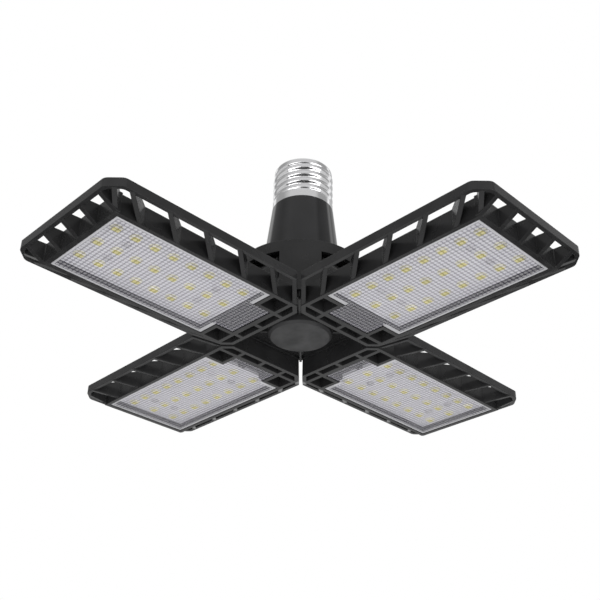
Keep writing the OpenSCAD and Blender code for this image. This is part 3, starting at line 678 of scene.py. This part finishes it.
def thread_form():
    """The screw shell: sheet metal with a rolled right-hand thread, a plain skirt and a rounded top."""
    low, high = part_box("screw_shell")
    crest_r = high.x
    pitch = 3.63 * MM
    depth = 1.1 * MM
    sheet = 0.5 * MM
    skirt = 3.2 * MM
    thread_top = 18.5 * MM
    fade = 1.2 * MM
    start_turn = 0.58
    neck_in = 0.35 * MM
    roll = 0.9 * MM
    lip_in = 3.4 * MM
    rim_roll = 0.12 * MM
    sides, rows = 128, 120
    bm = bmesh.new()

    def ease(x):
        x = min(max(x, 0), 1)
        return x * x * (3 - 2 * x)

    def outer(z, angle):
        wave = 0.5 - 0.5 * math.cos(2 * math.pi * ((z - skirt) / pitch + start_turn) - angle)
        share = ease((z - skirt) / fade) * ease((thread_top - z) / fade)
        plain = crest_r - neck_in * ease((z - skirt) / fade)
        return plain * (1 - share) + (crest_r - depth * (1 - wave ** 0.8)) * share

    def ring(z, inset, wall_z):
        """A ring at height z, set in from the outside that the shell has at wall_z."""
        radii = [outer(wall_z, t) - inset for t in angles]
        return ring_of(bm, [(r * math.cos(t), r * math.sin(t), z) for r, t in zip(radii, angles)])

    angles = [2 * math.pi * k / sides for k in range(sides)]
    wall_low, wall_high = low.z + rim_roll, high.z - roll
    outside = [ring(z, 0, z) for z in spread(wall_low, wall_high, rows)]
    top = [ring(wall_high + roll * math.sin(t), roll * (1 - math.cos(t)), wall_high)
           for t in (math.radians(a) for a in (20, 40, 60, 80, 90))]
    lip = [ring(high.z, lip_in, wall_high), ring(high.z - sheet, lip_in, wall_high)]
    inside = [ring(z, sheet, z) for z in reversed(spread(wall_low, wall_high, rows // 3))]
    foot = [ring(low.z, sheet * 0.75, low.z), ring(low.z, sheet * 0.25, low.z)]
    rings = outside + top + lip + inside + foot
    for a, b in zip(rings, rings[1:] + rings[:1]):
        join_rings(bm, a, b)
    return bm


def contact_form():
    """The centre contact: a tin disc with a blob of solder on it."""
    low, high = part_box("centre_contact")
    radius = high.x
    disc = 0.7 * MM
    low_bevel, high_bevel = 0.2 * MM, 0.25 * MM
    blob_r, blob_h = radius * 0.62, high.z - low.z - disc
    bm = bmesh.new()
    profile = [(0, low.z), (radius - low_bevel, low.z), (radius, low.z + low_bevel),
               (radius, low.z + disc - high_bevel), (radius - high_bevel, low.z + disc),
               (blob_r * 1.1, low.z + disc)]
    profile += [(blob_r * math.cos(t), low.z + disc + blob_h * math.sin(t))
                for t in (math.radians(a) for a in (12, 28, 45, 60, 75))]
    lathe(bm, profile + [(0, high.z)])
    return bm


# ---------------------------------------------------------------- the scene
def paint_nodes(mats):
    """Procedural materials for the CAD nodes that show as they are."""
    plain = {
        "driver_board": "green",
        "transformer": "tape", "mains_capacitor": "sleeve", "output_capacitor": "sleeve",
        "line_choke": "core", "bridge_rectifier": "chip_black", "switching_transistor": "chip_black",
        "live_wire": "wire_red", "neutral_wire": "wire_white", "hub_leads": "wire_black",
        "housing_screws": "steel", "hub_shell": "frame", "hub_base": "frame", "bottom_cap": "cap",
        "driver_housing": "housing", "base_insulator": "insulator",
    }
    on_panels = {
        "panel_frame": "frame", "light_board": "board", "panel_lead": "wire_black",
        "hinge_pin": "steel_black", "friction_washers": "steel_black",
    }
    for kind, key in on_panels.items():
        plain.update({f"{kind}_{i}": key for i in PANELS})
    for node, key in plain.items():
        mesh = nodes[node].data
        mesh.materials.clear()
        mesh.materials.append(mats[key])


add_camera()
add_world()
add_floor()
for turn in (0, 125, -125):
    add_dark_card(f"dark_card_{turn % 360}", CAMERA_AZIMUTH + turn)
add_softbox("key", -75, -35, 1.2, (0.9, 0.6), 5)
add_softbox("fill", 5, -25, 1.3, (0.9, 0.9), 5)
mats = make_materials()
paint_nodes(mats)

on_each_panel("lens_dotted", lens_form(), "lens",
              mats["lens_clear_painted_shade"], mats["lens_border"], mats["lens_dot_painted_highlight"], mats["lens_back"], node="lens")
on_each_panel("chips", chips_form(), "light_chip", mats["chip_case"], mats["phosphor"], node="light_chips",
              smooth=False)
on_each_panel("chip_resin", resin_form(), "light_chip", mats["resin"])
on_each_panel("tracks", tracks_form(), "light_board", mats["board"], smooth=False)
on_each_panel("board_screw_heads", screws_form("board_screws_1"), "steel", mats["screw_paint"],
              node="board_screws")
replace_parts(new_piece("hub_screw_heads", screws_form("hub_screws"), "hub", "steel", mats["steel_black"]),
            "hub_screws")
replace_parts(new_piece("thread", thread_form(), "hub", "screw_base", mats["shell"]), "screw_shell")
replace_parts(new_piece("contact_blob", contact_form(), "hub", "contact", mats["contact"]), "centre_contact")

scene.view_settings.view_transform = "Standard"
